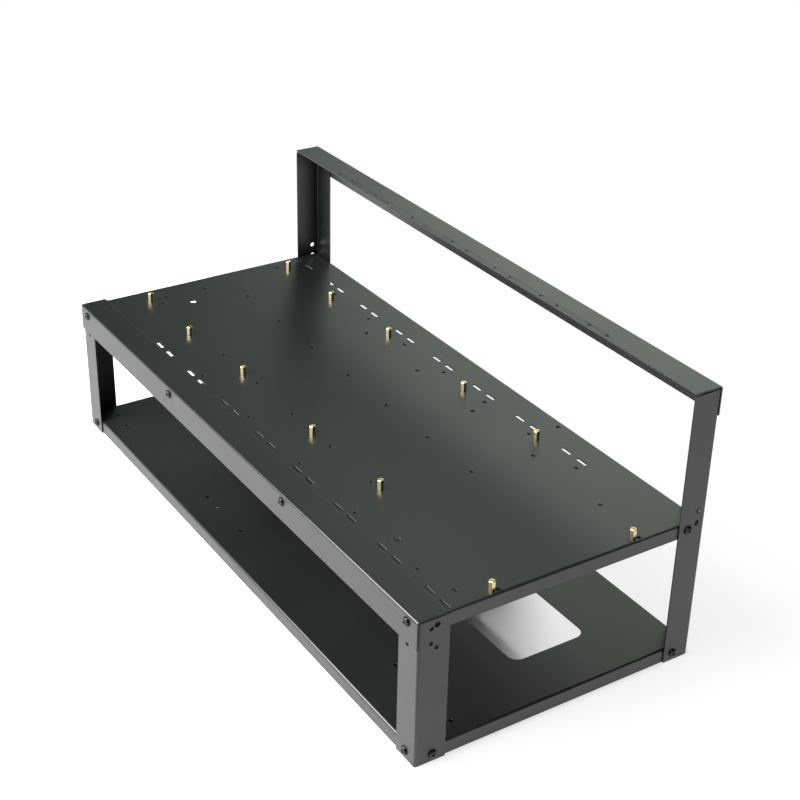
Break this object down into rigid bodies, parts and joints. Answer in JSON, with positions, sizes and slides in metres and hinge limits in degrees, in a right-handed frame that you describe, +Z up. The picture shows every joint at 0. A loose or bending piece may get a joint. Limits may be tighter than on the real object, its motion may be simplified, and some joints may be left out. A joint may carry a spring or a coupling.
{
  "type": "mining rig frame",
  "caption": "Open frame of folded black sheet: slotted upper tray on brass standoffs for a board with cards, lower tray for power supplies, angle posts, front rail and high card bar.",
  "frame": {"origin": "on the floor under the middle of the frame", "axes": "+X along the frame from left to right, +Y from the low front rail to the high rear bar, +Z up"},
  "size_m": [0.6072, 0.2736, 0.2486],
  "materials": {
    "powder_coat": "satin black powder coat",
    "brass": "turned brass",
    "black_screw": "black oxide"
  },
  "bodies": {
    "root": {"front_rail": "powder_coat", "top_bar": "powder_coat", "front_post_left": "powder_coat", "front_post_right": "powder_coat", "rear_post_left": "powder_coat", "rear_post_right": "powder_coat", "lower_tray": "powder_coat", "upper_tray": "powder_coat", "standoff_01": "brass", "standoff_02": "brass", "standoff_03": "brass", "standoff_04": "brass", "standoff_05": "brass", "standoff_06": "brass", "standoff_07": "brass", "standoff_08": "brass", "standoff_09": "brass", "standoff_10": "brass", "standoff_11": "brass", "standoff_12": "brass", "screws": "black_screw"}
  },
  "joints": []
}
